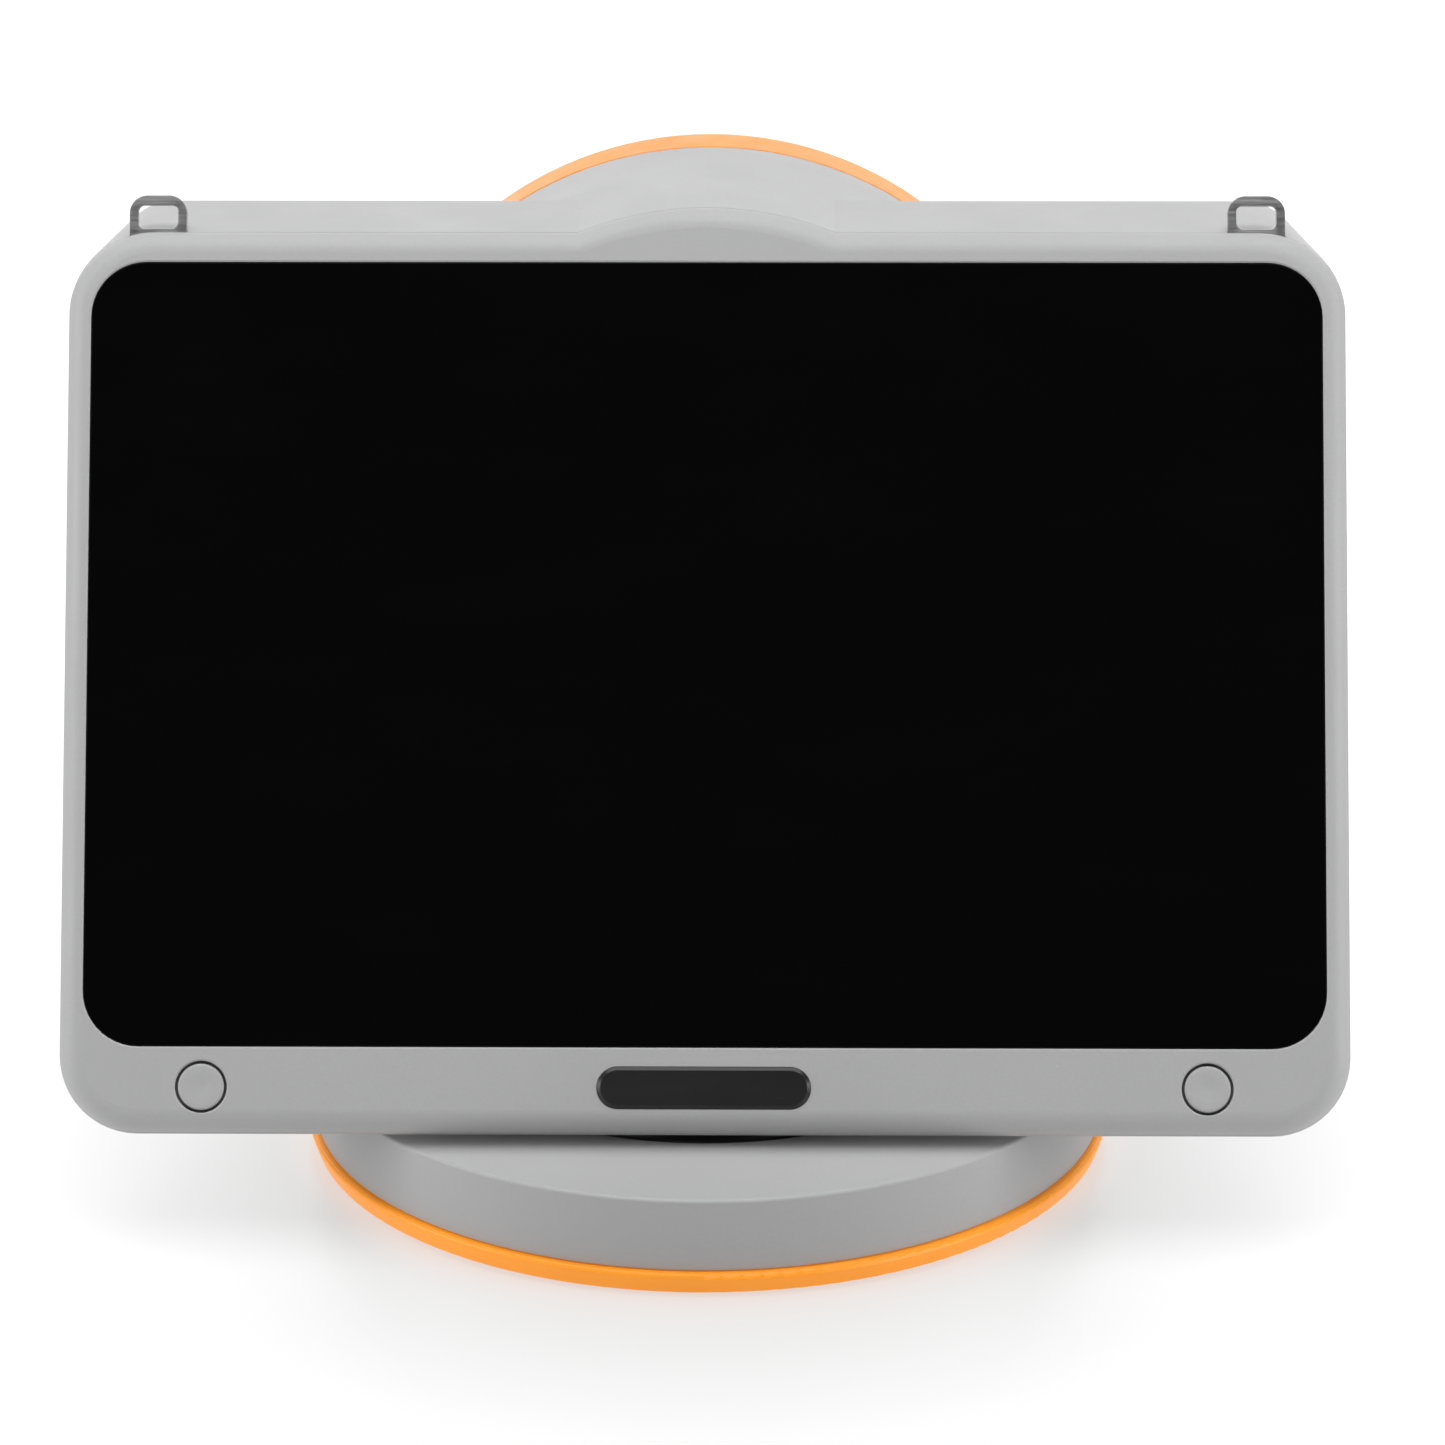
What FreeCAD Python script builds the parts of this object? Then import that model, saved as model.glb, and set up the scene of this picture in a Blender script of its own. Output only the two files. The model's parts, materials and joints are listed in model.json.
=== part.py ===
import FreeCAD, Part
import math
import os

V = FreeCAD.Vector

# Desktop video magnifier: a leaning display head with a round camera drum at its back, on a tilting
# and swivelling neck that stands on a round weighted base.
# Millimetres. +Z is up, the display faces -Y, and the origin is the centre of the base on the table.

# ---- base ------------------------------------------------------------------------------------------
BASE_RADIUS = 98.8
BASE_TOP = 24.4
BASE_WALL = 3.0
BASE_EDGE_RADIUS = 0.9
TRIM_RADIUS = 101.0
TRIM_TUCK = 1.9
TRIM_LOW = 0.6
TRIM_HIGH = 6.0
TRIM_SEAM = 0.4
PLATE_RADIUS = 95.0
PLATE_LOW = 1.0
PLATE_HIGH = 5.0
FOOT_RADIUS = 9.0
FOOT_CIRCLE = 78.0
BASE_SCREW_CIRCLE = 84.0
BASE_BOSS_RADIUS = 5.0

# ---- turntable -------------------------------------------------------------------------------------
DISC_RADIUS = 66.0
DISC_GAP = 0.4
DISC_LOW = 22.7
DISC_TOP = 24.7
RECESS_FLOOR = 22.4
SPINDLE_RADIUS = 9.0
RUNNING_GAP = 0.05
HUB_RADIUS = 17.0
HUB_LOW = 17.4
GLIDE_INNER = 50.0
GLIDE_OUTER = 56.0
STOP_CIRCLE = 38.0
STOP_RADIUS = 2.0
STOP_SWING = 90.0

# ---- tilting neck ----------------------------------------------------------------------------------
PIVOT_Y = 8.0
PIVOT_Z = 37.0
PIN_RADIUS = 4.0
LUG_HALF = 13.5
WASHER_THICK = 0.8
CHEEK_INNER = 14.4
CHEEK_OUTER = 20.4
CHEEK_RADIUS = 7.5
FLANGE_RADIUS = 32.0
FLANGE_TOP = 28.5
FRONT_STOP_TOP = 42.6
REAR_STOP_TOP = 38.3

# ---- head: a leaning slab whose top is level --------------------------------------------------------
LEAN = 25.0
FACE_Y = -72.0
FACE_Z = 29.2
SHELF_Z = 226.0
HALF_WIDTH = 155.3
HEAD_DEPTH = 31.6
STRAIGHT_DEPTH = 6.0
SIDE_TAPER = 8.4
BOTTOM_RISE = 22.0
LOW_CORNER = 19.0
HIGH_CORNER = 20.8
REAR_CORNER = 14.0
EDGE_RADIUS = 5.9
WALL = 2.5
PARTING = 4.0
SEAM = 0.3
EASE = 0.35
FACE_TOP = (SHELF_Z - FACE_Z) / math.cos(math.radians(LEAN))
SHELF_SLOPE = math.tan(math.radians(LEAN))

# ---- display ---------------------------------------------------------------------------------------
GLASS_HALF = 149.15
GLASS_LOW = 20.95
GLASS_HIGH = 211.0
GLASS_CORNER = 13.3
GLASS_FRONT = 0.3
GLASS_THICK = 1.6
TAPE_THICK = 0.4
GLASS_FIT = 0.15
LEDGE = 4.6
LEDGE_CORNER = 1.0
LCD_HALF = 143.2
LCD_HEIGHT = 179.4
LCD_DEPTH = 6.6
CHASSIS_FRONT = 7.0
CHASSIS_BACK = 8.5

# ---- buttons and nameplate on the lower border -------------------------------------------------------
BORDER_S = 11.2
BUTTON_X = 120.6
BUTTON_RADIUS = 5.55
BUTTON_HOLE = 6.25
BUTTON_TRAVEL = 0.8
BORDER_THICK = 2.4
NAME_HALF = 25.65
NAME_RADIUS = 5.05

# ---- strap eyelets -----------------------------------------------------------------------------------
EYELET_X = 133.7
EYELET_HALF = 7.0
EYELET_THICK = 1.5
EYELET_TOP = 228.2
EYELET_LOW = 208.0
SLOT_HALF = 4.8
SLOT_LOW = 220.0
SLOT_HIGH = 225.8

# ---- camera drum -------------------------------------------------------------------------------------
DRUM_Z = 140.8
DRUM_RADIUS = 90.8
DRUM_END = 86.8
RING_RADIUS = 91.0
RING_END = 100.0
SPIGOT_RADIUS = 88.2
SPIGOT_LENGTH = 6.0
WINDOW_RADIUS = 86.0
WINDOW_FRONT = 95.5
WINDOW_BACK = 98.0
LIP_RADIUS = 78.0
BARREL_RADIUS = 24.0
BARREL_BORE = 22.0

FACE = FreeCAD.Placement(V(0, FACE_Y, FACE_Z), FreeCAD.Rotation(V(1, 0, 0), -LEAN))

nodes = {}


# ---- building helpers ----------------------------------------------------------------------------------

def upright(radius, low, high, x=0.0, y=0.0):
    """Vertical cylinder."""
    return Part.makeCylinder(radius, high - low, V(x, y, low))


def along_y(radius, front, back, x=0.0, z=DRUM_Z):
    """Cylinder whose axis runs back, parallel to the drum's."""
    return Part.makeCylinder(radius, back - front, V(x, front, z), V(0, 1, 0))


def along_x(radius, left, right, y=PIVOT_Y, z=PIVOT_Z):
    """Cylinder along the tilt axis."""
    return Part.makeCylinder(radius, right - left, V(left, y, z), V(1, 0, 0))


def block(x0, x1, y0, y1, z0, z1):
    """Box from its lowest to its highest corner."""
    return Part.makeBox(x1 - x0, y1 - y0, z1 - z0, V(x0, y0, z0))


def ring_points(count, radius, first=0.0):
    """Points spaced evenly round a circle, as (x, y) pairs."""
    angles = [math.radians(first + 360.0 * i / count) for i in range(count)]
    return [(radius * math.cos(a), radius * math.sin(a)) for a in angles]


def join(shapes):
    """Union of touching shapes, with the seams between coplanar faces removed."""
    shapes = list(shapes)
    return shapes[0].multiFuse(shapes[1:]).removeSplitter()


def group(shapes):
    """Identical loose pieces that share one node."""
    return Part.makeCompound(list(shapes))


def cut(shape, tools):
    for tool in tools:
        shape = shape.cut(tool)
    return shape


def edges_at(shape, test):
    """Edges whose sampled points all pass a test."""
    found = []
    for edge in shape.Edges:
        points = edge.discretize(5)
        if all(test(p) for p in points):
            found.append(edge)
    return found


# Head parts are drawn in the face's own axes: x across, y as depth behind the face, z as height up the
# face. to_head leans them back and puts them in place.

def to_head(shape):
    placed = shape.copy()
    placed.Placement = FACE.multiply(placed.Placement)
    return placed


def deep(radius, front, back, x, s):
    """Cylinder square to the face."""
    return Part.makeCylinder(radius, back - front, V(x, front, s), V(0, 1, 0))


def outline(depth, half, low, high, low_radius, high_radius):
    """Rounded rectangle parallel to the face, symmetric about x = 0."""
    def quarter(x, s, radius, start):
        points = []
        for turn in (0, 45, 90):
            a = math.radians(start + turn)
            points.append(V(x + radius * math.cos(a), depth, s + radius * math.sin(a)))
        return Part.Arc(*points).toShape()

    corners = [
        quarter(half - low_radius, low + low_radius, low_radius, -90),
        quarter(half - high_radius, high - high_radius, high_radius, 0),
        quarter(high_radius - half, high - high_radius, high_radius, 90),
        quarter(low_radius - half, low + low_radius, low_radius, 180),
    ]
    edges = []
    for i, corner in enumerate(corners):
        before = corners[i - 1]
        edges.append(Part.makeLine(before.Vertexes[-1].Point, corner.Vertexes[0].Point))
        edges.append(corner)
    return Part.Wire(edges)


def panel(front, back, half, low, high, radius):
    """Flat plate with rounded corners, parallel to the face."""
    face = Part.Face(outline(front, half, low, high, radius, radius))
    return face.extrude(V(0, back - front, 0))


def eased_panel(half, low, high, radius):
    """Tool that bevels the edge of a rounded opening in the face."""
    over = EASE + 0.5
    wide = outline(-0.5, half + over, low - over, high + over, radius + over, radius + over)
    return Part.makeLoft([wide, outline(EASE, half, low, high, radius, radius)], True, True)


def eased_hole(radius, x, s):
    """Tool that bevels the edge of a round hole in the face."""
    over = EASE + 0.5
    return Part.makeCone(radius + over, radius, over, V(x, -0.5, s), V(0, 1, 0))


def pill(front, back, half, radius, s=BORDER_S):
    """Stadium-shaped plate lying across the face."""
    core = block(radius - half, half - radius, front, back, s - radius, s + radius)
    ends = [deep(radius, front, back, side * (half - radius), s) for side in (-1, 1)]
    return join([core] + ends)


def head_outline(depth, inset):
    """Outer edge of the head at a depth, pulled in by inset."""
    back = max(0.0, (depth - STRAIGHT_DEPTH) / (HEAD_DEPTH - STRAIGHT_DEPTH))
    low_radius = LOW_CORNER + back * (REAR_CORNER - LOW_CORNER) - inset
    high_radius = HIGH_CORNER + back * (REAR_CORNER - HIGH_CORNER) - inset
    half = HALF_WIDTH - back * SIDE_TAPER - inset
    low = back * BOTTOM_RISE + inset
    high = FACE_TOP + depth * SHELF_SLOPE - inset
    return outline(depth, half, low, high, low_radius, high_radius)


def head_block(front, back, inset=0.0):
    """Solid between two depths of the head, straight to STRAIGHT_DEPTH and tapered behind it."""
    depths = [front, back]
    if front < STRAIGHT_DEPTH < back:
        depths.insert(1, STRAIGHT_DEPTH)
    return Part.makeLoft([head_outline(d, inset) for d in depths], True, True)


def depth_zone(front, back):
    """Everything between two depths behind the face."""
    return to_head(block(-200, 200, front, back, -100, 400))


def head_envelope(inset=0.0):
    """Whole outside of the head: slab and drum, with the front edges rounded."""
    slab = head_block(0.0, HEAD_DEPTH, inset)
    front_edges = edges_at(slab, lambda p: abs(p.y) < 1e-6)
    slab = to_head(slab.makeFillet(EDGE_RADIUS - inset, front_edges))
    drum = along_y(DRUM_RADIUS - inset, -60.0, DRUM_END)
    crown = drum.common(depth_zone(0.0, 300.0)).common(block(-90, 90, -60, DRUM_END, 200, 300))
    inverse = FACE.inverse()
    crown_edges = edges_at(crown, lambda p: abs(inverse.multVec(p).y) < 1e-4)
    crown_edges = [edge for edge in crown_edges if edge.discretize(3)[1].z > 201]
    crown = crown.makeFillet(EDGE_RADIUS - inset, crown_edges)
    rest = drum.common(depth_zone(STRAIGHT_DEPTH + 6.0, 300.0))
    return slab.fuse(crown).fuse(rest)


# ---- base ----------------------------------------------------------------------------------------------

def make_base():
    shell = upright(BASE_RADIUS, TRIM_HIGH, BASE_TOP)
    top_edge = edges_at(shell, lambda p: abs(p.z - BASE_TOP) < 1e-6 and math.hypot(p.x, p.y) > 90)
    shell = shell.makeFillet(BASE_EDGE_RADIUS, top_edge)
    shell = shell.cut(upright(BASE_RADIUS - BASE_WALL, TRIM_HIGH - 1, BASE_TOP - BASE_WALL))
    floor_low = RECESS_FLOOR - BASE_WALL
    floor = upright(DISC_RADIUS + DISC_GAP + BASE_WALL, floor_low, BASE_TOP - 1.0)
    hub = upright(HUB_RADIUS, HUB_LOW, floor_low + 1)
    boss_points = ring_points(4, BASE_SCREW_CIRCLE, 45)
    bosses = [upright(BASE_BOSS_RADIUS, PLATE_HIGH, BASE_TOP - 1, x, y) for x, y in boss_points]
    cover = join([shell, floor, hub] + bosses)

    groove = upright(STOP_CIRCLE + STOP_RADIUS + 0.4, RECESS_FLOOR - 2.0, RECESS_FLOOR + 1)
    groove = groove.cut(upright(STOP_CIRCLE - STOP_RADIUS - 0.4, 0, 40))
    web = Part.makeCylinder(60, 40, V(0, 0, 0), V(0, 0, 1), 360 - 2 * STOP_SWING - 8)
    web.rotate(V(0, 0, 0), V(0, 0, 1), STOP_SWING + 4 - 90)
    groove = groove.cut(web)
    cuts = [
        upright(DISC_RADIUS + DISC_GAP, RECESS_FLOOR, BASE_TOP + 1),
        upright(SPINDLE_RADIUS + RUNNING_GAP, 0, 40),
        upright(GLIDE_OUTER, RECESS_FLOOR - 1.2, 40).cut(upright(GLIDE_INNER, 0, 50)),
        groove,
        upright(120, TRIM_HIGH - 1, TRIM_HIGH + TRIM_SEAM).cut(upright(BASE_RADIUS - 0.8, 0, 40)),
    ]
    cuts += [upright(1.7, PLATE_HIGH - 1, 17.0, x, y) for x, y in boss_points]
    nodes["base_cover"] = cut(cover, cuts)

    ring = Part.makeCone(TRIM_RADIUS - TRIM_TUCK, TRIM_RADIUS, TRIM_HIGH - TRIM_LOW, V(0, 0, TRIM_LOW))
    ring = ring.makeFillet(1.0, edges_at(ring, lambda p: abs(p.z - TRIM_HIGH) < 1e-6))
    ring = ring.makeFillet(0.6, edges_at(ring, lambda p: abs(p.z - TRIM_LOW) < 1e-6))
    ring = ring.cut(upright(PLATE_RADIUS + 0.3, 0, PLATE_HIGH))
    nodes["base_trim_ring"] = ring.cut(upright(PLATE_RADIUS - 3, 0, 20))

    plate = upright(PLATE_RADIUS, PLATE_LOW, PLATE_HIGH)
    foot_points = ring_points(4, FOOT_CIRCLE)
    plate_cuts = [upright(FOOT_RADIUS, 0, PLATE_LOW + 1.0, x, y) for x, y in foot_points]
    plate_cuts += [upright(2.1, 0, 20, x, y) for x, y in boss_points]
    plate_cuts += [upright(3.8, 0, 3.2, x, y) for x, y in boss_points]
    nodes["base_plate"] = cut(plate, plate_cuts)

    feet = []
    for x, y in foot_points:
        foot = upright(FOOT_RADIUS - 0.1, 0, PLATE_LOW + 1.0, x, y)
        feet.append(foot.makeFillet(0.4, edges_at(foot, lambda p: p.z < 1e-6)))
    nodes["rubber_feet"] = group(feet)

    screws = []
    for x, y in boss_points:
        screw = join([upright(3.5, 1.3, 3.2, x, y), upright(1.6, 3.2, 16.5, x, y)])
        screws.append(screw.cut(block(x - 1.8, x + 1.8, y - 0.5, y + 0.5, 1.0, 2.2)))
    nodes["base_screws"] = group(screws)

    glide = upright(GLIDE_OUTER - 0.1, RECESS_FLOOR - 1.2, DISC_LOW - RUNNING_GAP)
    nodes["swivel_glide_ring"] = glide.cut(upright(GLIDE_INNER + 0.1, 0, 40))


# ---- turntable and neck ------------------------------------------------------------------------------

def make_turntable():
    disc = upright(DISC_RADIUS, DISC_LOW, DISC_TOP)
    disc = disc.makeFillet(0.5, edges_at(disc, lambda p: abs(p.z - DISC_TOP) < 1e-6))
    dowel_points = ring_points(2, 24.0, 90)
    disc_cuts = [upright(SPINDLE_RADIUS, 0, 40), upright(STOP_RADIUS, 0, 40, 0, -STOP_CIRCLE)]
    disc_cuts += [upright(2.0, 0, 40, x, y) for x, y in dowel_points]
    nodes["turntable_disc"] = cut(disc, disc_cuts)
    nodes["swivel_stop_pin"] = upright(STOP_RADIUS, RECESS_FLOOR - 1.7, DISC_TOP, 0, -STOP_CIRCLE)
    nodes["yoke_dowels"] = group(upright(2.0, DISC_LOW, DISC_TOP + 2.5, x, y) for x, y in dowel_points)

    flange = upright(FLANGE_RADIUS, DISC_TOP, FLANGE_TOP)
    flange = flange.makeFillet(1.2, edges_at(flange, lambda p: abs(p.z - FLANGE_TOP) < 1e-6))
    pieces = [flange]
    for side in (-1, 1):
        left, right = sorted((side * CHEEK_INNER, side * CHEEK_OUTER))
        round_end = along_x(CHEEK_RADIUS, left, right)
        foot = [V(left, PIVOT_Y - 13, FLANGE_TOP - 1), V(left, PIVOT_Y + 13, FLANGE_TOP - 1)]
        top = [V(left, PIVOT_Y + CHEEK_RADIUS, PIVOT_Z), V(left, PIVOT_Y - CHEEK_RADIUS, PIVOT_Z)]
        web = Part.Face(Part.makePolygon(foot + top + foot[:1])).extrude(V(right - left, 0, 0))
        pieces += [round_end, web]
    pieces.append(block(-8, 8, -17, -11.2, FLANGE_TOP - 1, FRONT_STOP_TOP))
    pieces.append(block(-8, 8, 27.0, 29.6, FLANGE_TOP - 1, REAR_STOP_TOP - 0.2))
    yoke = join(pieces)
    yoke_cuts = [
        upright(SPINDLE_RADIUS, 0, 40),
        upright(12.1, FLANGE_TOP - 2.4, 40).common(block(-CHEEK_INNER, CHEEK_INNER, -20, 20, 0, 60)),
        along_x(PIN_RADIUS, -30, 30),
    ]
    yoke_cuts += [upright(2.0, 0, DISC_TOP + 2.5, x, y) for x, y in dowel_points]
    nodes["tilt_yoke"] = cut(yoke, yoke_cuts)

    nodes["swivel_spindle"] = join([
        upright(12.0, FLANGE_TOP - 2.4, FLANGE_TOP - 0.4),
        upright(SPINDLE_RADIUS, 11.5, FLANGE_TOP - 2.4),
    ])
    washer = upright(14.0, HUB_LOW - 1.6, HUB_LOW - RUNNING_GAP)
    nodes["thrust_washer"] = washer.cut(upright(SPINDLE_RADIUS, 0, 40))
    hexagon = Part.makePolygon([V(x, y, 12.0) for x, y in ring_points(6, 15.0)] + [V(15.0, 0, 12.0)])
    nut = Part.Face(hexagon).extrude(V(0, 0, HUB_LOW - 1.6 - 12.0))
    nodes["spindle_nut"] = nut.cut(upright(SPINDLE_RADIUS, 0, 40))

    pin = join([along_x(PIN_RADIUS, -CHEEK_OUTER, 23.0), along_x(6.2, -CHEEK_OUTER - 2.2, -CHEEK_OUTER)])
    clip_groove = along_x(5.0, 21.0, 21.8).cut(along_x(3.2, 20.0, 23.0))
    nodes["tilt_pin"] = pin.cut(clip_groove)
    clip = along_x(6.2, 21.0, 21.8).cut(along_x(3.2, 20.0, 23.0))
    nodes["pin_clip"] = clip.cut(block(20, 23, PIVOT_Y - 2, PIVOT_Y + 2, PIVOT_Z - 8, PIVOT_Z))
    washers = []
    for side in (-1, 1):
        left, right = sorted((side * (CHEEK_INNER - WASHER_THICK), side * CHEEK_INNER))
        washers.append(along_x(7.0, left, right).cut(along_x(PIN_RADIUS, -30, 30)))
    nodes["friction_washers"] = group(washers)


# ---- head shells -------------------------------------------------------------------------------------

POST_POINTS = [(side * 148.2, s) for side in (-1, 1) for s in (45.0, 115.0, 188.0)]
HOUSING_SCREW_POINTS = [(side * 133.0, s) for side in (-1, 1) for s in (50.0, 122.0, 198.0)]
LUG_SCREW_POINTS = [(x, y) for x in (-8.0, 8.0) for y in (-5.0, 23.0)]
USB_X = 112.0
USB_S = 42.0


def make_shells():
    envelope = head_envelope()

    bezel = envelope.copy().common(depth_zone(-20.0, PARTING))
    lip = head_block(PARTING - 0.2, PARTING + 1.6, WALL + 0.2).cut(
        head_block(PARTING - 0.3, PARTING + 1.7, WALL + 1.4))
    for side in (-1, 1):
        x = side * EYELET_X
        lip = lip.cut(block(x - 9, x + 9, PARTING, PARTING + 3, 200, 230))
    posts = [deep(2.8, PARTING - 0.2, CHASSIS_FRONT, x, s) for x, s in POST_POINTS]
    bezel = join([bezel] + [to_head(piece) for piece in [lip] + posts])
    seat_depth = GLASS_FRONT + GLASS_THICK + TAPE_THICK
    bezel_cuts = [
        panel(-1, seat_depth, GLASS_HALF + GLASS_FIT, GLASS_LOW - GLASS_FIT, GLASS_HIGH + GLASS_FIT,
              GLASS_CORNER + GLASS_FIT),
        panel(seat_depth - 1, PARTING + 3, GLASS_HALF - LEDGE, GLASS_LOW + LEDGE, GLASS_HIGH - LEDGE,
              LEDGE_CORNER),
        eased_panel(GLASS_HALF + GLASS_FIT, GLASS_LOW - GLASS_FIT, GLASS_HIGH + GLASS_FIT,
                    GLASS_CORNER + GLASS_FIT),
        pill(-1, 0.9, NAME_HALF + 0.1, NAME_RADIUS + 0.1),
    ]
    for side in (-1, 1):
        bezel_cuts.append(eased_hole(BUTTON_HOLE, side * BUTTON_X, BORDER_S))
        bezel_cuts.append(deep(BUTTON_HOLE, -1, PARTING + 1, side * BUTTON_X, BORDER_S))
        bezel_cuts.append(deep(8.6, BORDER_THICK, PARTING + 3, side * BUTTON_X, BORDER_S))
    bezel_cuts += [deep(1.1, PARTING - 1.2, CHASSIS_FRONT + 1, x, s) for x, s in POST_POINTS]
    nodes["front_bezel"] = cut(bezel, [to_head(tool) for tool in bezel_cuts])

    rear = envelope.copy().common(depth_zone(PARTING + SEAM, 300.0))
    seam_band = to_head(head_block(PARTING, PARTING + SEAM + 0.1, 0.35)).fuse(
        along_y(DRUM_RADIUS - 0.35, 0.0, 40.0).common(depth_zone(PARTING, PARTING + SEAM + 0.1)))
    rear = rear.fuse(seam_band)
    cavity = to_head(head_block(PARTING - 1, HEAD_DEPTH - WALL, WALL))
    drum_bore = along_y(DRUM_RADIUS - WALL, -80.0, DRUM_END + 1).common(depth_zone(PARTING - 1, 300.0))
    rear = rear.cut(cavity).cut(drum_bore)
    bosses = [to_head(deep(4.2, CHASSIS_BACK, HEAD_DEPTH - 1.0, x, s)) for x, s in HOUSING_SCREW_POINTS]
    rear = join([rear] + bosses)
    rear_cuts = [to_head(deep(3.4, 24.0, HEAD_DEPTH + 1, x, s)) for x, s in HOUSING_SCREW_POINTS]
    rear_cuts += [to_head(deep(1.7, 0, HEAD_DEPTH + 1, x, s)) for x, s in HOUSING_SCREW_POINTS]
    rear_cuts += [upright(2.1, 40, 60, x, y) for x, y in LUG_SCREW_POINTS]
    for side in (-1, 1):
        x = side * EYELET_X
        slot = block(x - EYELET_HALF - 0.1, x + EYELET_HALF + 0.1, PARTING - 1,
                     PARTING + EYELET_THICK + 0.1, EYELET_LOW, EYELET_TOP)
        rear_cuts.append(to_head(slot))
    port = block(USB_X - 3.1, USB_X + 3.1, 20, 40, USB_S - 1.9, USB_S + 1.9)
    port = join([port, deep(1.9, 20, 40, USB_X - 3.1, USB_S), deep(1.9, 20, 40, USB_X + 3.1, USB_S)])
    rear_cuts.append(to_head(port))
    nodes["rear_housing"] = cut(rear, rear_cuts)

    screws = []
    for x, s in HOUSING_SCREW_POINTS:
        screw = join([deep(3.1, 22.6, 24.0, x, s).translated(V(0, 1.4, 0)), deep(1.5, CHASSIS_FRONT, 24.1, x, s)])
        screws.append(to_head(screw.cut(block(x - 1.8, x + 1.8, 24.7, 26, s - 0.45, s + 0.45))))
    nodes["housing_screws"] = group(screws)


def make_eyelets():
    """Flat metal plates held in the seam, each with a slot for narrow webbing."""
    shelf = FACE_TOP + PARTING * SHELF_SLOPE
    for side, name in ((-1, "left_strap_eyelet"), (1, "right_strap_eyelet")):
        x = side * EYELET_X
        back = PARTING + EYELET_THICK
        plate = block(x - EYELET_HALF, x + EYELET_HALF, PARTING, back, EYELET_LOW, EYELET_TOP)
        top_edges = edges_at(plate, lambda p: p.z > EYELET_TOP - 1e-6 and abs(abs(p.x - x) - EYELET_HALF) < 1e-6)
        plate = plate.makeFillet(4.4, top_edges)
        slot = block(x - SLOT_HALF, x + SLOT_HALF, 0, 20, SLOT_LOW, SLOT_HIGH)
        corners = edges_at(slot, lambda p: abs(abs(p.x - x) - SLOT_HALF) < 1e-6
                           and min(abs(p.z - SLOT_LOW), abs(p.z - SLOT_HIGH)) < 1e-6)
        slot = slot.makeFillet(1.5, corners)
        waist = deep(1.4, 0, 20, x, shelf - 6.5)
        nodes[name] = to_head(plate.cut(slot).cut(waist))


def make_face_trim():
    glass = panel(GLASS_FRONT, GLASS_FRONT + GLASS_THICK, GLASS_HALF, GLASS_LOW, GLASS_HIGH, GLASS_CORNER)
    rim = edges_at(glass, lambda p: abs(p.y - GLASS_FRONT) < 1e-6)
    nodes["cover_glass"] = to_head(glass.makeChamfer(0.25, rim))

    tape_front = GLASS_FRONT + GLASS_THICK
    tape = panel(tape_front, tape_front + TAPE_THICK, GLASS_HALF - 0.3, GLASS_LOW + 0.3, GLASS_HIGH - 0.3,
                 GLASS_CORNER - 0.3)
    hole = panel(0, 10, GLASS_HALF - LEDGE, GLASS_LOW + LEDGE, GLASS_HIGH - LEDGE, LEDGE_CORNER)
    nodes["glass_tape"] = to_head(tape.cut(hole))

    plate = pill(-0.45, 0.9, NAME_HALF, NAME_RADIUS)
    rim = edges_at(plate, lambda p: abs(p.y + 0.45) < 1e-6)
    nodes["nameplate"] = to_head(plate.makeChamfer(0.44, 0.85, rim))

    for side, word in ((-1, "left"), (1, "right")):
        x = side * BUTTON_X
        cap = deep(BUTTON_RADIUS, -0.1, 2.7, x, BORDER_S)
        cap = cap.makeFillet(0.5, edges_at(cap, lambda p: abs(p.y + 0.1) < 1e-6))
        dish = Part.makeSphere(60.0, V(x, -59.75, BORDER_S))
        button = join([cap, deep(7.2, 2.7, 3.5, x, BORDER_S), deep(1.8, 3.5, 5.0, x, BORDER_S)])
        nodes[word + "_button"] = to_head(button.cut(dish))

        switch_front = 5.0 + BUTTON_TRAVEL + 0.1
        switch = block(x - 3, x + 3, switch_front, 8.0, BORDER_S - 3, BORDER_S + 3)
        board = block(x - 9, x + 9, 8.0, 9.2, 7.2, 17.4)
        nodes[word + "_button_switch"] = to_head(join([switch, board]))


# ---- display and electronics in the slab -----------------------------------------------------------------

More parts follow.
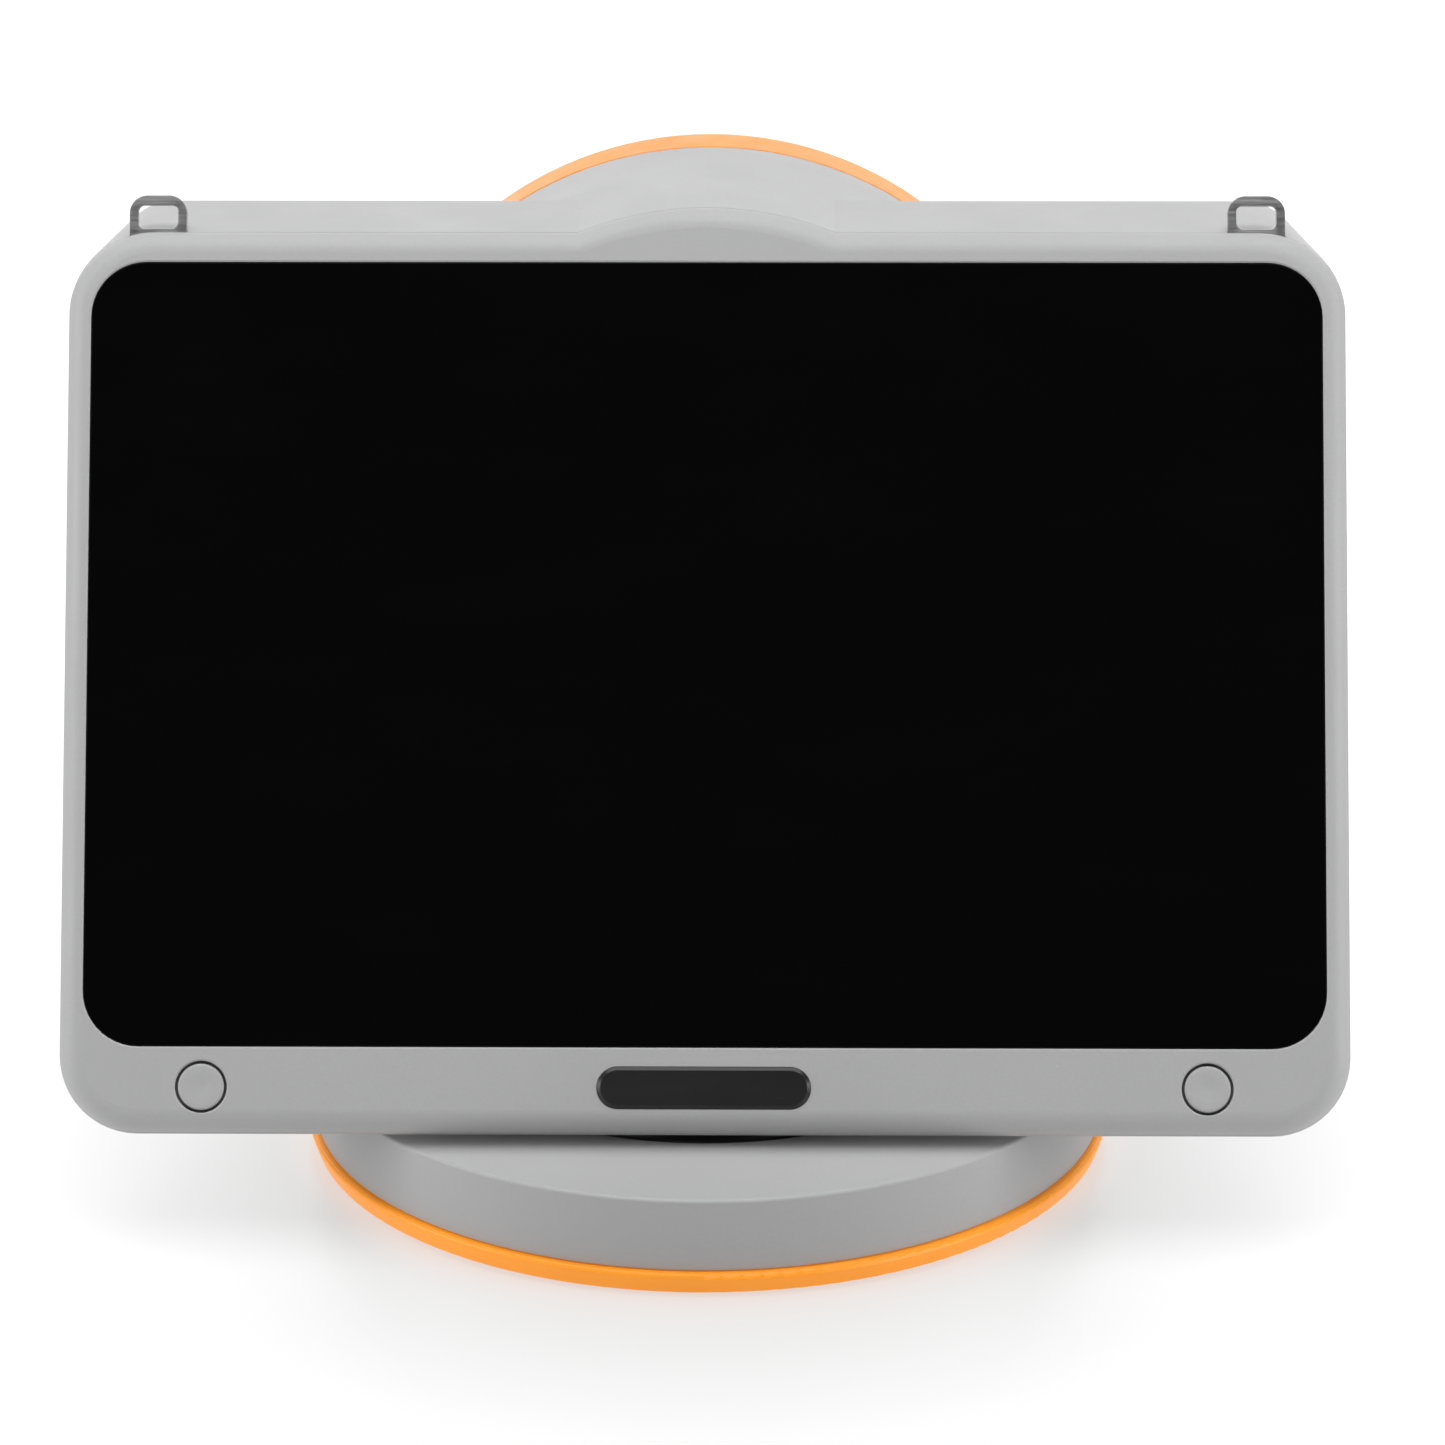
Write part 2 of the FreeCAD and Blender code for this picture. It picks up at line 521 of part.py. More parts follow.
def make_slab_internals():
    middle = (GLASS_LOW + GLASS_HIGH) / 2
    lcd_low = middle - LCD_HEIGHT / 2
    tape_back = GLASS_FRONT + GLASS_THICK
    lcd = block(-LCD_HALF, LCD_HALF, tape_back + 0.1, LCD_DEPTH, lcd_low, lcd_low + LCD_HEIGHT)
    nodes["display_panel"] = to_head(lcd)

    chassis = panel(CHASSIS_FRONT, CHASSIS_BACK, 151.0, 19.5, 213.5, 14.0)
    chassis_cuts = [block(-40, 40, 0, 20, 176, 190)]
    chassis_cuts += [deep(1.3, 0, 20, x, s) for x, s in POST_POINTS]
    chassis_cuts += [deep(1.5, 0, 20, x, s) for x, s in HOUSING_SCREW_POINTS]
    standoff_points = [(x, s) for x in (-74.0, 74.0) for s in (66.0, 164.0)]
    nodes["display_chassis"] = to_head(cut(chassis, chassis_cuts))

    screws = []
    for x, s in POST_POINTS:
        screws.append(to_head(join([deep(2.4, 8.5, 9.6, x, s), deep(1.1, 3.6, 8.5, x, s)])))
    nodes["chassis_screws"] = group(screws)

    standoffs = [deep(3.0, CHASSIS_BACK, 13.0, x, s) for x, s in standoff_points]
    nodes["board_standoffs"] = group(to_head(piece) for piece in standoffs)

    board = block(-80, 80, 13.0, 14.6, 60, 170)
    parts = [
        block(-15, 15, 14.5, 16.4, 108, 138),
        block(-48, -32, 14.5, 15.8, 104, 120),
        block(-48, -32, 14.5, 15.8, 124, 140),
        block(40, 62, 14.5, 18.5, 76, 84),
        block(40, 62, 14.5, 18.5, 92, 100),
        block(-70, -40, 14.5, 19.0, 152, 158),
    ]
    screw_holes = [deep(1.4, 12, 16, x, s) for x, s in standoff_points]
    nodes["main_board"] = to_head(cut(join([board] + parts), screw_holes))
    board_screws = [join([deep(2.7, 14.6, 16.0, x, s), deep(1.4, 13.0, 14.7, x, s)])
                    for x, s in standoff_points]
    nodes["board_screws"] = group(to_head(piece) for piece in board_screws)

    sink = [block(-28, 28, 16.4, 18.4, 96, 150)]
    for i in range(9):
        x = -26.5 + 6.6 * i
        sink.append(block(x - 0.7, x + 0.7, 18.3, 25.5, 96, 150))
    nodes["heat_sink"] = to_head(join(sink))

    packs = []
    for side in (-1, 1):
        left, right = sorted((side * 96.0, side * 126.0))
        pack = block(left, right, CHASSIS_BACK, 24.0, 60, 182)
        long_edges = edges_at(pack, lambda p: abs(p.y - 24.0) < 1e-6)
        packs.append(to_head(pack.makeFillet(2.0, long_edges)))
    nodes["battery_packs"] = group(packs)

    board_top = USB_S - 1.7
    io_board = block(USB_X - 9, USB_X + 9, CHASSIS_BACK, 27.0, board_top - 1.4, board_top)
    nodes["port_board"] = to_head(io_board)
    shell = block(USB_X - 2.9, USB_X + 2.9, 20.5, 28.6, board_top, board_top + 3.2)
    ends = [deep(1.6, 20.5, 28.6, USB_X + x, board_top + 1.6) for x in (-2.9, 2.9)]
    bore = [block(USB_X - 2.9, USB_X + 2.9, 22, 30, board_top + 0.3, board_top + 2.9)]
    bore += [deep(1.3, 22, 30, USB_X + x, board_top + 1.6) for x in (-2.9, 2.9)]
    tongue = block(USB_X - 3.2, USB_X + 3.2, 21.8, 27.6, board_top + 1.25, board_top + 1.95)
    nodes["charging_port"] = to_head(join([cut(join([shell] + ends), bore), tongue]))


# ---- camera drum -----------------------------------------------------------------------------------------

def lens(radius, middle, thickness, curve):
    """Biconvex lens on the drum's axis, cut from two spheres."""
    half = thickness / 2
    front = Part.makeSphere(curve, V(0, middle - half + curve, DRUM_Z))
    back = Part.makeSphere(curve, V(0, middle + half - curve, DRUM_Z))
    return along_y(radius, middle - half, middle + half).common(front).common(back)


def make_drum():
    ring = along_y(RING_RADIUS, DRUM_END, RING_END)
    ring = ring.makeFillet(0.3, [edge for edge in ring.Edges if edge.Closed])
    ring = join([ring, along_y(SPIGOT_RADIUS, DRUM_END - SPIGOT_LENGTH, DRUM_END)])
    ring_cuts = [
        along_y(WINDOW_RADIUS + 0.2, WINDOW_FRONT, RING_END + 1),
        along_y(LIP_RADIUS, 75, RING_END + 1),
        along_y(WINDOW_RADIUS + 0.2, 75, 92.0),
    ]
    plate_points = [(x, DRUM_Z + z) for x, z in ring_points(4, 82.0, 45)]
    ring_cuts += [along_y(1.3, 90, 94.5, x, z) for x, z in plate_points]
    nodes["drum_trim_ring"] = cut(ring, ring_cuts)

    plate = along_y(WINDOW_RADIUS, 90.0, 92.0)
    plate_cuts = [along_y(BARREL_RADIUS, 80, 100)]
    plate_cuts += [along_y(1.5, 80, 100, x, z) for x, z in plate_points]
    nodes["camera_plate"] = cut(plate, plate_cuts)
    nodes["camera_screws"] = group(
        join([along_y(2.6, 88.4, 90.0, x, z), along_y(1.3, 90.0, 94.0, x, z)]) for x, z in plate_points)

    window = along_y(WINDOW_RADIUS, WINDOW_FRONT, WINDOW_BACK)
    window = window.makeChamfer(0.4, edges_at(window, lambda p: p.y > WINDOW_BACK - 1e-6))
    nodes["rear_window"] = window.cut(along_y(26.1, 90, 100))
    gasket = along_y(WINDOW_RADIUS - 1, 94.9, WINDOW_FRONT)
    nodes["drum_trim_ring"] = nodes["drum_trim_ring"].cut(
        along_y(WINDOW_RADIUS - 1, 94.9, 96).cut(along_y(82.9, 90, 100)))
    nodes["window_gasket"] = gasket.cut(along_y(83, 90, 100))

    hood = join([along_y(26.0, 94.0, WINDOW_BACK + 0.1), along_y(30.0, WINDOW_BACK, 99.4)])
    hood = hood.makeFillet(0.6, edges_at(hood, lambda p: p.y > 99.4 - 1e-6))
    cone = Part.makeCone(19.0, 24.5, 4.5, V(0, 95.0, DRUM_Z), V(0, 1, 0))
    nodes["lens_hood"] = hood.cut(cone).cut(along_y(BARREL_RADIUS, 90, 94.9)).cut(along_y(19.0, 90, 96))

    barrel = join([along_y(BARREL_RADIUS, 44.0, 94.8), along_y(32.0, 88.0, 90.0)])
    barrel = barrel.cut(along_y(BARREL_BORE, 46.0, 96))
    nodes["lens_barrel"] = barrel.cut(along_y(12.0, 40, 60))
    nodes["front_lens"] = lens(BARREL_BORE, 89.5, 7.0, 60.0)
    nodes["rear_lens"] = lens(BARREL_BORE, 50.0, 6.0, 70.0)

    carrier = along_y(BARREL_BORE - RUNNING_GAP, 63.0, 73.0).cut(along_y(18.0, 60, 80))
    nodes["focus_carrier"] = carrier
    nodes["focus_lens"] = lens(18.0, 68.0, 6.0, 50.0)

    board = block(-27, 27, 42.0, 43.6, DRUM_Z - 27, DRUM_Z + 27)
    chip = block(-10, 10, 43.5, 43.95, DRUM_Z - 8, DRUM_Z + 8)
    nodes["sensor_board"] = join([board, chip])
    sleeve = along_y(26.5, 43.6, 50.0).cut(along_y(BARREL_RADIUS, 40, 60))
    nodes["sensor_mount"] = sleeve

    lamp_board = along_y(62.0, 92.0, 93.4).cut(along_y(34.0, 90, 100))
    nodes["lamp_board"] = lamp_board
    lamps = []
    for x, z in ring_points(12, 48.0, 15):
        body = along_y(2.5, 93.4, 94.0, x, DRUM_Z + z)
        dome = Part.makeSphere(2.0, V(x, 93.4, DRUM_Z + z)).common(
            block(x - 3, x + 3, 93.4, 96, DRUM_Z + z - 3, DRUM_Z + z + 3))
        lamps.append(join([body, dome]))
    nodes["lamps"] = group(lamps)


def make_lug():
    """Hinge lug bolted under the drum, turning on the tilt pin between the yoke's cheeks."""
    eye = along_x(CHEEK_RADIUS, -LUG_HALF, LUG_HALF)
    foot = [V(-LUG_HALF, PIVOT_Y - CHEEK_RADIUS, PIVOT_Z), V(-LUG_HALF, PIVOT_Y + CHEEK_RADIUS, PIVOT_Z)]
    top = [V(-LUG_HALF, PIVOT_Y + 21, 43), V(-LUG_HALF, PIVOT_Y + 21, 54)]
    top += [V(-LUG_HALF, PIVOT_Y - 19, 54), V(-LUG_HALF, PIVOT_Y - 19, 43)]
    web = Part.Face(Part.makePolygon(foot + top + foot[:1])).extrude(V(2 * LUG_HALF, 0, 0))
    lug = join([eye, web])
    lug_cuts = [
        along_y(DRUM_RADIUS, -60, 120),
        along_x(PIN_RADIUS + RUNNING_GAP, -30, 30),
    ]
    lug_cuts += [upright(1.7, 43.4, 60, x, y) for x, y in LUG_SCREW_POINTS]
    nodes["hinge_lug"] = cut(lug, lug_cuts)

    screws = []
    for x, y in LUG_SCREW_POINTS:
        seat = DRUM_Z - math.sqrt((DRUM_RADIUS - WALL) ** 2 - (abs(x) + 3.2) ** 2)
        screws.append(join([upright(3.2, seat, seat + 2.2, x, y), upright(1.7, 43.4, seat + 0.1, x, y)]))
    nodes["lug_screws"] = group(screws)


make_base()
make_turntable()
make_shells()
make_eyelets()
make_face_trim()
make_slab_internals()
make_drum()
make_lug()

os.makedirs("parts", exist_ok=True)
for name, shape in nodes.items():
    shape.exportStep("parts/" + name + ".step")
    print(name, "solids", len(shape.Solids), "volume", round(shape.Volume), "valid", shape.isValid())
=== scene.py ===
import json
import math

import bmesh
import bpy
from mathutils import Matrix, Vector


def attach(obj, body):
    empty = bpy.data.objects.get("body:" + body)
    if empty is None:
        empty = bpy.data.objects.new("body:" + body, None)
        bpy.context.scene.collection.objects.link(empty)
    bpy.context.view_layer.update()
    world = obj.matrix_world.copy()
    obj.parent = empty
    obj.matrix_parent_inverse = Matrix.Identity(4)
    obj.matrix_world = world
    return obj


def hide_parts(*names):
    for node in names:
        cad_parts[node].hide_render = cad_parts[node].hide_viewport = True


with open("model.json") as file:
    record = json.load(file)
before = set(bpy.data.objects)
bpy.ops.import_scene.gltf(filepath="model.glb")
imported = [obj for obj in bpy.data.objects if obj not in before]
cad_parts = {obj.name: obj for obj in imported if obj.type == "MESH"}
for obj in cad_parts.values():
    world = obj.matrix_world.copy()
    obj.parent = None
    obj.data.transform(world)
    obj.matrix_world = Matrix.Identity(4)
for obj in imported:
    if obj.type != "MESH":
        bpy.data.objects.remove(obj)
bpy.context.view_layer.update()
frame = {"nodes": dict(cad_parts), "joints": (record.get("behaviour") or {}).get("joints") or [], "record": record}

# A desktop video magnifier on its round base: a leaning grey head with a black display, two thumb buttons,
# a blank nameplate, a strap eyelet at each top corner and a camera drum with an orange ring behind it.
# Metres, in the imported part's own frame: +Z is up, the display faces -Y, and the base stands at the origin.
# The buttons, nameplate, display glass and eyelets are rebuilt here. Every other node keeps its CAD mesh.

# ---- sizes that the frame doesn't hold ------------------------------------------------------------------
SOFT = 0.0001  # a barely broken edge, or how far a support loop stands off from one

BUTTON_CAP_RADIUS = 0.00555
BUTTON_EDGE = 0.0006
BUTTON_DISH = 0.00025
BUTTON_DISH_SHARE = 0.78  # how much of the cap's radius is dished
BUTTON_SKIRT = 0.0028  # depths below the top of the cap, where the skirt and the stem start
BUTTON_STEM_START = 0.0036
BUTTON_STEM_RADIUS = 0.0018

NAMEPLATE_RIM = 0.00085  # width and height of the sloping rim
NAMEPLATE_RISE = 0.00045
NAMEPLATE_EDGE = 0.00003
NAMEPLATE_ROUNDING = 0.999  # the round ends stop just short of half circles

GLASS_CORNER = 0.0133
GLASS_ARRIS = 0.0002

EYELET_CORNER = 0.0043
EYELET_SOFTNESS = 0.00015
SLOT_HALF = 0.0048
SLOT_TOP_BAR = 0.0024
SLOT_HEIGHT = 0.0058
SLOT_CORNER = 0.0016

# ---- how finely the rebuilt pieces are cut --------------------------------------------------------------
CIRCLE_STEPS = 96
CORNER_STEPS = 12
BUTTON_CORNER_STEPS = 5
DISH_STEPS = 10
ARRIS_STEPS = 4
EYELET_EDGE_STEPS = 3
CREASE = math.radians(25)
MERGE_DISTANCE = 1e-7

# ---- the face's own axes: x runs across the face, y into the head and z up the face ---------------------
press = next(joint for joint in frame["joints"] if joint["name"] == "left_button_press")
LEAN = math.atan2(-press["axis"][2], press["axis"][1])
FACE_TURN = Matrix.Rotation(-LEAN, 4, "X")


def face_box(node):
    """Lowest and highest corner of a CAD node in the face's axes."""
    unlean = FACE_TURN.inverted()
    points = [unlean @ vertex.co for vertex in frame["nodes"][node].data.vertices]
    low = Vector(min(point[i] for point in points) for i in range(3))
    high = Vector(max(point[i] for point in points) for i in range(3))
    return low, high


# ---- material helpers: every size in a pattern is in metres ---------------------------------------------

def new_material(name, colour, roughness, **sockets):
    """Principled material whose even values sit on the shader's own sockets."""
    material = bpy.data.materials.new(name)
    material.use_nodes = True
    shader = material.node_tree.nodes["Principled BSDF"]
    shader.inputs["Base Color"].default_value = (*colour, 1.0)
    shader.inputs["Roughness"].default_value = roughness
    for socket, value in sockets.items():
        shader.inputs[socket.replace("_", " ")].default_value = value
    return material


def add_node(material, kind, **inputs):
    """Adds a node and sets its inputs: a plain value is set, a socket is linked."""
    node = material.node_tree.nodes.new(kind)
    for name, value in inputs.items():
        socket = node.inputs[name.replace("_", " ")]
        if isinstance(value, bpy.types.NodeSocket):
            material.node_tree.links.new(value, socket)
        else:
            socket.default_value = value
    return node


def link(material, output, socket):
    """Feeds a pattern into a named socket of the shader."""
    shader = material.node_tree.nodes["Principled BSDF"]
    material.node_tree.links.new(output, shader.inputs[socket])


def pattern_space(material, stretch=(1.0, 1.0, 1.0)):
    """Object coordinates. A stretch below 1 draws the pattern out along that axis."""
    place = add_node(material, "ShaderNodeTexCoord").outputs["Object"]
    return add_node(material, "ShaderNodeMapping", Vector=place, Scale=stretch).outputs["Vector"]


def noise(material, size, detail=3.0, stretch=(1.0, 1.0, 1.0)):
    """Noise whose features are about the given size across."""
    node = add_node(material, "ShaderNodeTexNoise", Vector=pattern_space(material, stretch),
                    Scale=1.0 / size, Detail=detail, Roughness=0.55)
    return node.outputs["Fac"]


def remap(material, value, low, high, source=(0.3, 0.7)):
    """Spreads the source range, by default the usual range of a noise, over low to high."""
    node = add_node(material, "ShaderNodeMapRange", Value=value, From_Min=source[0], From_Max=source[1],
                    To_Min=low, To_Max=high)
    return node.outputs["Result"]


def blend_colour(material, factor, first, second):
    """Colour between two colours or colour sockets, by a factor."""
    node = material.node_tree.nodes.new("ShaderNodeMix")
    node.data_type = "RGBA"
    material.node_tree.links.new(factor, node.inputs[0])
    for socket, value in ((node.inputs[6], first), (node.inputs[7], second)):
        if isinstance(value, bpy.types.NodeSocket):
            material.node_tree.links.new(value, socket)
        else:
            socket.default_value = (*value, 1.0)
    return node.outputs[2]


def bump(material, height, distance, under=None):
    """Surface relief of a real height, over an earlier relief if there is one."""
    inputs = {"Height": height, "Distance": distance, "Strength": 1.0}
    if under is not None:
        inputs["Normal"] = under
    return add_node(material, "ShaderNodeBump", **inputs).outputs["Normal"]


def shade(colour, factor):
    """The colour made lighter or darker by a factor."""
    return tuple(min(1.0, channel * factor) for channel in colour)


def specks(material, spacing, share):
    """Sparse round specks: 1 inside a speck and 0 elsewhere. share is a speck's radius over the spacing."""
    cells = add_node(material, "ShaderNodeTexVoronoi", Vector=pattern_space(material),
                     Scale=1.0 / spacing).outputs["Distance"]
    return remap(material, cells, 1.0, 0.0, source=(share * 0.6, share))


# ---- materials ------------------------------------------------------------------------------------------

def textured(name, colour, roughness, grain, relief, tone=0.03, spread=0.05, **sockets):
    """Surface with a fine grain in relief, slow drifts in tone and an uneven gloss."""
    material = new_material(name, colour, roughness, **sockets)
    drift = remap(material, noise(material, size=0.045, detail=2.0), 0.0, 1.0)
    link(material, blend_colour(material, drift, shade(colour, 1 - tone), shade(colour, 1 + tone)),
         "Base Color")
    handled = noise(material, size=0.012, detail=4.0)
    link(material, remap(material, handled, roughness - spread, roughness + spread), "Roughness")
    link(material, bump(material, noise(material, grain, detail=2.0), relief), "Normal")
    return material


def moulded_shell(name, colour):
    """Light grey moulding: spark-eroded grain, faint flow marks, a little dust, softly scuffed gloss."""
    material = new_material(name, colour, roughness=0.5, Specular_IOR_Level=0.35)
    drift = remap(material, noise(material, size=0.06, detail=2.0), 0.0, 1.0)
    base = blend_colour(material, drift, shade(colour, 0.985), shade(colour, 1.015))
    grain = noise(material, size=0.0007, detail=2.0)
    pitted = blend_colour(material, remap(material, grain, 0.0, 1.0), base, shade(colour, 0.965))
    dust = specks(material, spacing=0.009, share=0.022)
    link(material, blend_colour(material, dust, pitted, shade(colour, 1.35)), "Base Color")
    gloss = noise(material, size=0.02, detail=5.0, stretch=(1.0, 1.0, 0.35))
    link(material, remap(material, gloss, low=0.44, high=0.58), "Roughness")
    flow = bump(material, noise(material, size=0.03, detail=1.0), distance=0.00006)
    link(material, bump(material, grain, distance=0.000012, under=flow), "Normal")
    return material


def satin_orange(name, colour, glow):
    """Satin orange moulding: faint deeper marbling and a waxier gloss than the shell. A glow lifts its
    brightness, because the photo's ring is brighter than the lights alone make it."""
    material = new_material(name, colour, roughness=0.4, Specular_IOR_Level=0.4,
                            Emission_Color=(*colour, 1.0), Emission_Strength=glow)
    marbling = remap(material, noise(material, size=0.015, detail=4.0), 0.0, 1.0)
    link(material, blend_colour(material, marbling, colour, shade(colour, 0.93)), "Base Color")
    link(material, remap(material, noise(material, size=0.008), low=0.34, high=0.46), "Roughness")
    link(material, bump(material, noise(material, size=0.0009, detail=2.0), distance=0.00001), "Normal")
    return material


def polished_black(name, colour, roughness, specular):
    """Black polished pane with a few hair scratches and faint wiped smears."""
    material = new_material(name, colour, roughness, Specular_IOR_Level=specular)
    wiped = noise(material, size=0.05, detail=4.0, stretch=(1.0, 1.0, 2.6))
    smears = remap(material, wiped, 0.0, 1.0, source=(0.42, 0.75))
    link(material, remap(material, smears, roughness, roughness + 0.1, source=(0.0, 1.0)), "Roughness")
    link(material, blend_colour(material, smears, colour, shade(colour, 1.25)), "Base Color")
    hairs = noise(material, size=0.0009, detail=2.0, stretch=(1.0, 1.0, 0.03))
    link(material, bump(material, hairs, distance=0.0000006), "Normal")
    return material


def brushed(name, colour, roughness, stretch):
    """Metal brushed one way: stretch draws the strokes out along the brushing."""
    material = new_material(name, colour, roughness, Metallic=1.0)
    strokes = noise(material, size=0.0005, detail=4.0, stretch=stretch)
    link(material, blend_colour(material, remap(material, strokes, 0.0, 1.0), shade(colour, 0.82),
                                shade(colour, 1.12)), "Base Color")
    link(material, remap(material, strokes, roughness - 0.08, roughness + 0.1), "Roughness")
    link(material, bump(material, strokes, distance=0.000012), "Normal")
    return material


def turned(name, colour, roughness, axis):
    """Metal faced on a lathe: fine rings round one of the frame's axes, broken up by noise."""
    pitch = 0.0006
    material = new_material(name, colour, roughness, Metallic=1.0)
    waves = add_node(material, "ShaderNodeTexWave", Vector=pattern_space(material), Scale=0.31 / pitch,
                     Distortion=0.6, Detail=1.0)
    waves.wave_type = "RINGS"
    waves.rings_direction = axis
    rings = waves.outputs["Fac"]
    tarnish = remap(material, noise(material, size=0.01, detail=4.0), 0.0, 1.0)
    link(material, blend_colour(material, tarnish, shade(colour, 0.85), shade(colour, 1.05)), "Base Color")
    link(material, remap(material, rings, roughness - 0.05, roughness + 0.1, source=(0.0, 1.0)),
         "Roughness")
    link(material, bump(material, rings, distance=0.000004), "Normal")
    return material


def circuit(name):
    """Green solder mask with small tinned pads showing through."""
    mask = (0.012, 0.11, 0.04)
    tin = (0.45, 0.42, 0.32)
    material = new_material(name, mask, roughness=0.35)
    cells = add_node(material, "ShaderNodeTexVoronoi", Vector=pattern_space(material, (1.0, 0.4, 1.0)),
                     Scale=350.0)
    cells.distance = "CHEBYCHEV"
    pads = remap(material, cells.outputs["Distance"], 1.0, 0.0, source=(0.1, 0.16))
    mottled = remap(material, noise(material, size=0.004), 0.0, 1.0)
    grained = blend_colour(material, mottled, mask, shade(mask, 1.5))
    link(material, blend_colour(material, pads, grained, tin), "Base Color")
    link(material, remap(material, pads, low=0.4, high=0.25, source=(0.0, 1.0)), "Roughness")
    link(material, bump(material, pads, distance=0.00003), "Normal")
    return material


def coated_glass(name):
    """Clear optical glass with a faint violet bloom and a few dust specks."""
    material = new_material(name, (0.96, 0.97, 1.0), roughness=0.02, Transmission_Weight=1.0, IOR=1.52)
    dust = specks(material, spacing=0.004, share=0.03)
    link(material, blend_colour(material, dust, (0.93, 0.92, 1.0), (0.7, 0.7, 0.7)), "Base Color")
    link(material, remap(material, noise(material, size=0.01), low=0.01, high=0.05), "Roughness")
    return material


def shrink_wrap(name):
    """Blue shrink film pulled into fine wrinkles."""
    colour = (0.01, 0.03, 0.16)
    material = new_material(name, colour, roughness=0.35)
    wrinkles = noise(material, size=0.003, detail=4.0, stretch=(1.0, 1.0, 0.25))
    link(material, blend_colour(material, remap(material, wrinkles, 0.0, 1.0), colour, shade(colour, 1.4)),
         "Base Color")
    link(material, remap(material, wrinkles, low=0.28, high=0.42), "Roughness")
    link(material, bump(material, wrinkles, distance=0.00012), "Normal")
    return material


slot_materials = {
    "shell_grey": moulded_shell("moulded_shell", (0.415, 0.415, 0.418)),
    "trim_orange": satin_orange("base_ring_orange", (0.95, 0.32, 0.018), glow=0.24),
    "black_plastic": textured("black_plastic", (0.012, 0.012, 0.012), roughness=0.45, grain=0.0008,
                              relief=0.00002, tone=0.15, spread=0.08),
    "display_glass": polished_black("display_glass", (0.0012, 0.0012, 0.0013), roughness=0.05,
                                    specular=0.12),
    "window_acrylic": polished_black("window_acrylic", (0.004, 0.004, 0.005), roughness=0.06, specular=0.4),
    "lens_glass": coated_glass("coated_glass"),
    "eyelet_metal": brushed("eyelet_metal", (0.36, 0.36, 0.365), roughness=0.4, stretch=(0.06, 1.0, 1.0)),
    "steel": turned("steel", (0.55, 0.55, 0.56), roughness=0.32, axis="Z"),
    "aluminium": turned("aluminium", (0.72, 0.72, 0.74), roughness=0.38, axis="Y"),
    "cast_black": textured("cast_black", (0.018, 0.018, 0.019), roughness=0.5, grain=0.0012,
                           relief=0.00007, tone=0.2, spread=0.1, Metallic=0.2),
    "rubber": textured("rubber", (0.02, 0.02, 0.02), roughness=0.8, grain=0.0006, relief=0.00003,
                       tone=0.2, spread=0.1),
    "acetal": textured("acetal", (0.70, 0.70, 0.66), roughness=0.35, grain=0.0015, relief=0.00001),
    "foam_tape": textured("foam_tape", (0.012, 0.012, 0.012), roughness=0.9, grain=0.0007, relief=0.0001,
                          tone=0.25),
    "circuit_board": circuit("circuit_board"),
    "brass": turned("brass", (0.60, 0.42, 0.16), roughness=0.3, axis="Y"),
    "battery_wrap": shrink_wrap("battery_wrap"),
    "lamp_epoxy": textured("lamp_epoxy", (0.10, 0.07, 0.11), roughness=0.12, grain=0.002, relief=0.00001,
                           tone=0.2, spread=0.04),
}
drum_ring_orange = satin_orange("drum_ring_orange", (0.95, 0.29, 0.03), glow=0.0)
nameplate_black = polished_black("nameplate_black", (0.016, 0.016, 0.016), roughness=0.22, specular=0.35)

slot_of = {part["node"]: part["material_slot"] for part in frame["record"]["subparts"]}
for node_name, node_object in frame["nodes"].items():
    finish = drum_ring_orange if node_name == "drum_trim_ring" else slot_materials[slot_of[node_name]]
    node_object.data.materials.clear()
    node_object.data.materials.append(finish)


# ---- mesh helpers ---------------------------------------------------------------------------------------

def soften(corners, steps=CORNER_STEPS):
    """Turns (a, b, radius) corners into a closed outline with round corners."""
    points = []
    for i, (a, b, radius) in enumerate(corners):
        here = Vector((a, b))
        if radius == 0:
            points.append(here)
            continue
        before = (Vector(corners[i - 1][:2]) - here).normalized()
        after = (Vector(corners[(i + 1) % len(corners)][:2]) - here).normalized()
        half = before.angle(after) / 2
        centre = here + (before + after).normalized() * radius / math.sin(half)
        first = here + before * radius / math.tan(half) - centre
        last = here + after * radius / math.tan(half) - centre
        start = math.atan2(first.y, first.x)
        turn = (math.atan2(last.y, last.x) - start + math.pi) % (2 * math.pi) - math.pi
        for step in range(steps + 1):
            angle = start + turn * step / steps
            points.append(centre + radius * Vector((math.cos(angle), math.sin(angle))))
    return points


def rounded_rectangle(low, high, inset, radius):
    """Outline in the face's x and z, pulled in by inset."""
    reach = radius - inset
    return soften([
        (low.x + inset, low.z + inset, reach),
        (high.x - inset, low.z + inset, reach),
        (high.x - inset, high.z - inset, reach),
        (low.x + inset, high.z - inset, reach),
    ])


def lathe(profile, place):
    """Turns an open profile of (radius, height) points about an axis. place maps (radius, angle, height) to
    a point. A profile point on the axis becomes one vertex."""
    vertices, rings, faces = [], [], []
    for radius, height in profile:
        if radius == 0:
            rings.append([len(vertices)] * CIRCLE_STEPS)
            vertices.append(place(0.0, 0.0, height))
            continue
        rings.append(list(range(len(vertices), len(vertices) + CIRCLE_STEPS)))
        vertices += [place(radius, 2 * math.pi * i / CIRCLE_STEPS, height) for i in range(CIRCLE_STEPS)]
    for lower, upper in zip(rings, rings[1:]):
        for i in range(CIRCLE_STEPS):
            j = (i + 1) % CIRCLE_STEPS
            corners = list(dict.fromkeys((lower[i], lower[j], upper[j], upper[i])))
            if len(corners) > 2:
                faces.append(corners)
    return vertices, faces


